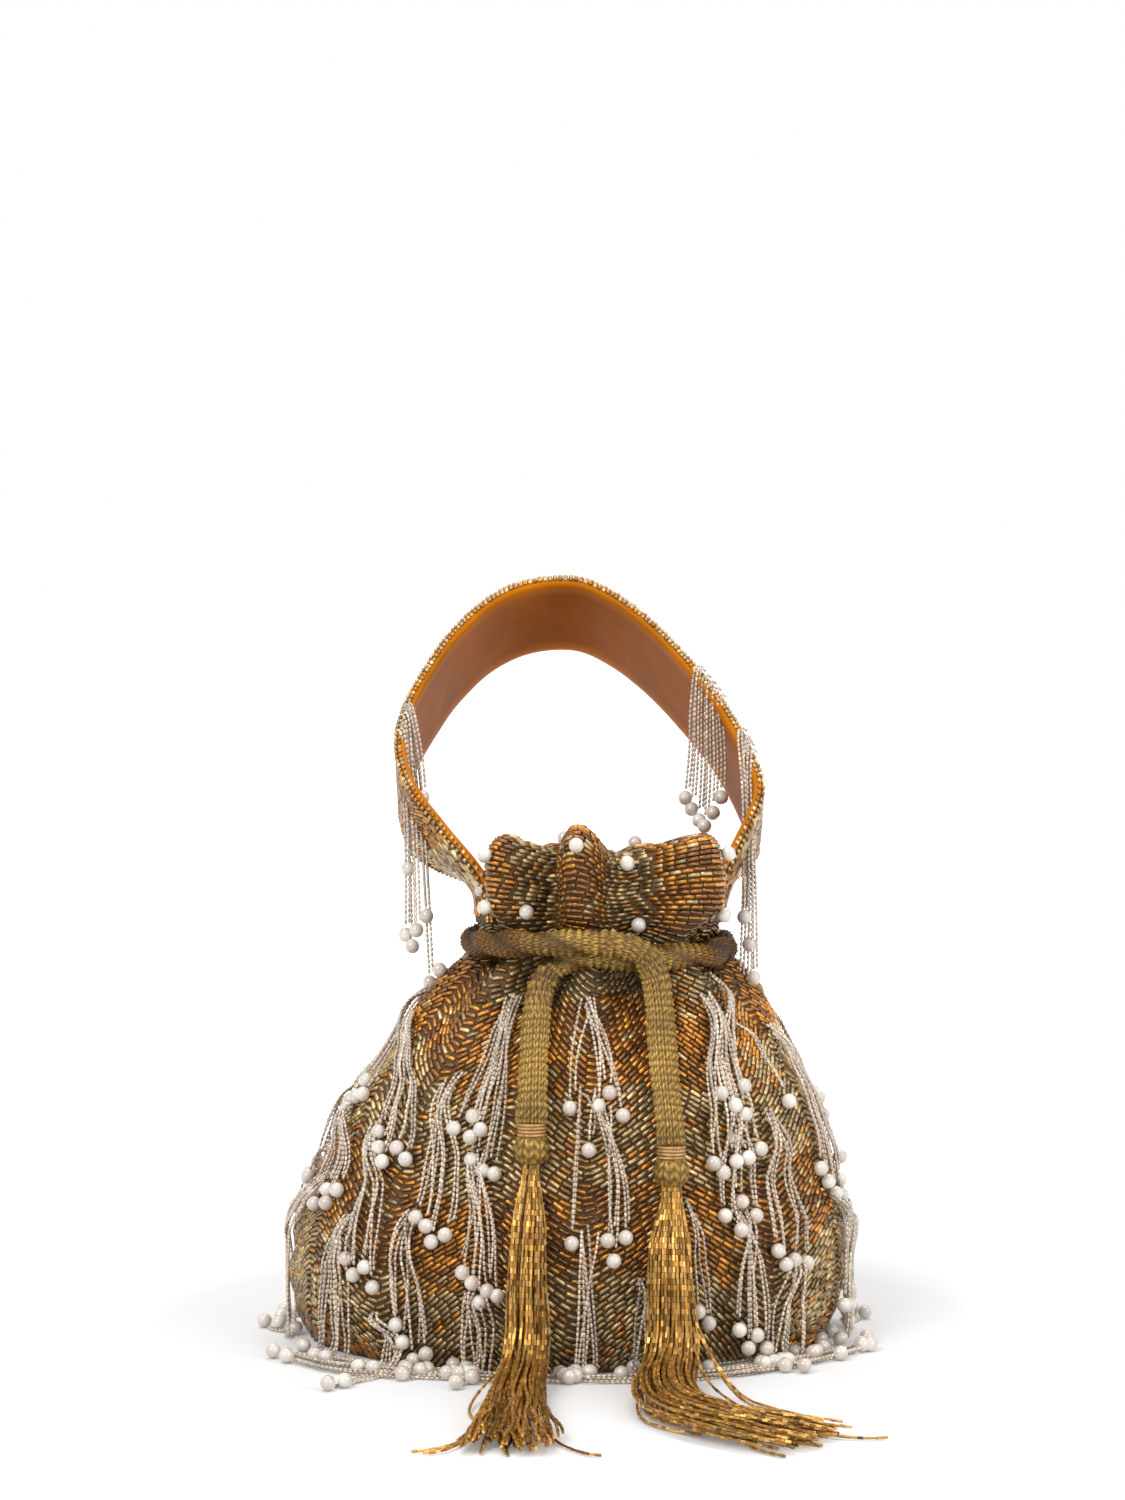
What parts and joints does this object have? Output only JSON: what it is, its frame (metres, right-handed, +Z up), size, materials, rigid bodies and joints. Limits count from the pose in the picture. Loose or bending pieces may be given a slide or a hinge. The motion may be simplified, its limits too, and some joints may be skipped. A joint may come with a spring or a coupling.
{
  "type": "potli bag",
  "caption": "Gathered drawstring pouch covered in bead rows, with a frilled neck, knitted drawstring ending in tassels, pearl fringes and a stiff carrying strap.",
  "frame": {"origin": "middle of the underside of the base panel", "axes": "+Z up out of the mouth, -Y towards the front where the drawstring's ends hang, +X to the front's right"},
  "size_m": [0.2186, 0.2738, 0.2741],
  "materials": {
    "beaded_cloth": "dark cloth sewn all over with gold, bronze and silver-lined bugle beads",
    "satin": "mustard satin",
    "board": "stiff interlining",
    "zari_knit": "knitted metallic gold band",
    "tassel_thread": "twisted metallic amber thread",
    "bead_string": "clear and silver-lined seed beads with pearl ends"
  },
  "bodies": {
    "root": {"bag_body": "beaded_cloth", "base_panel": "board", "bag_lining": "satin", "handle_lining": "satin", "handle_stiffener": "board", "handle_outer": "beaded_cloth", "drawstring": "zari_knit", "knot_left": "zari_knit", "knot_right": "zari_knit", "tassel_left": "tassel_thread", "tassel_right": "tassel_thread", "fringe_01": "bead_string", "fringe_02": "bead_string", "fringe_03": "bead_string", "fringe_04": "bead_string", "fringe_05": "bead_string", "fringe_06": "bead_string", "fringe_07": "bead_string", "fringe_08": "bead_string", "fringe_09": "bead_string", "fringe_10": "bead_string", "fringe_11": "bead_string", "fringe_12": "bead_string", "fringe_13": "bead_string", "fringe_14": "bead_string", "fringe_15": "bead_string", "fringe_16": "bead_string", "fringe_17": "bead_string", "fringe_18": "bead_string", "fringe_19": "bead_string", "fringe_20": "bead_string", "fringe_21": "bead_string", "fringe_22": "bead_string", "fringe_23": "bead_string", "fringe_24": "bead_string", "fringe_25": "bead_string", "fringe_26": "bead_string", "fringe_27": "bead_string", "fringe_28": "bead_string", "fringe_29": "bead_string", "fringe_30": "bead_string", "fringe_31": "bead_string", "fringe_32": "bead_string", "fringe_33": "bead_string", "fringe_34": "bead_string", "fringe_35": "bead_string", "fringe_36": "bead_string", "fringe_37": "bead_string", "fringe_38": "bead_string", "strap_fringe_left": "bead_string", "strap_fringe_right_inner": "bead_string", "strap_fringe_right_middle": "bead_string", "strap_fringe_right_outer": "bead_string"}
  },
  "joints": []
}
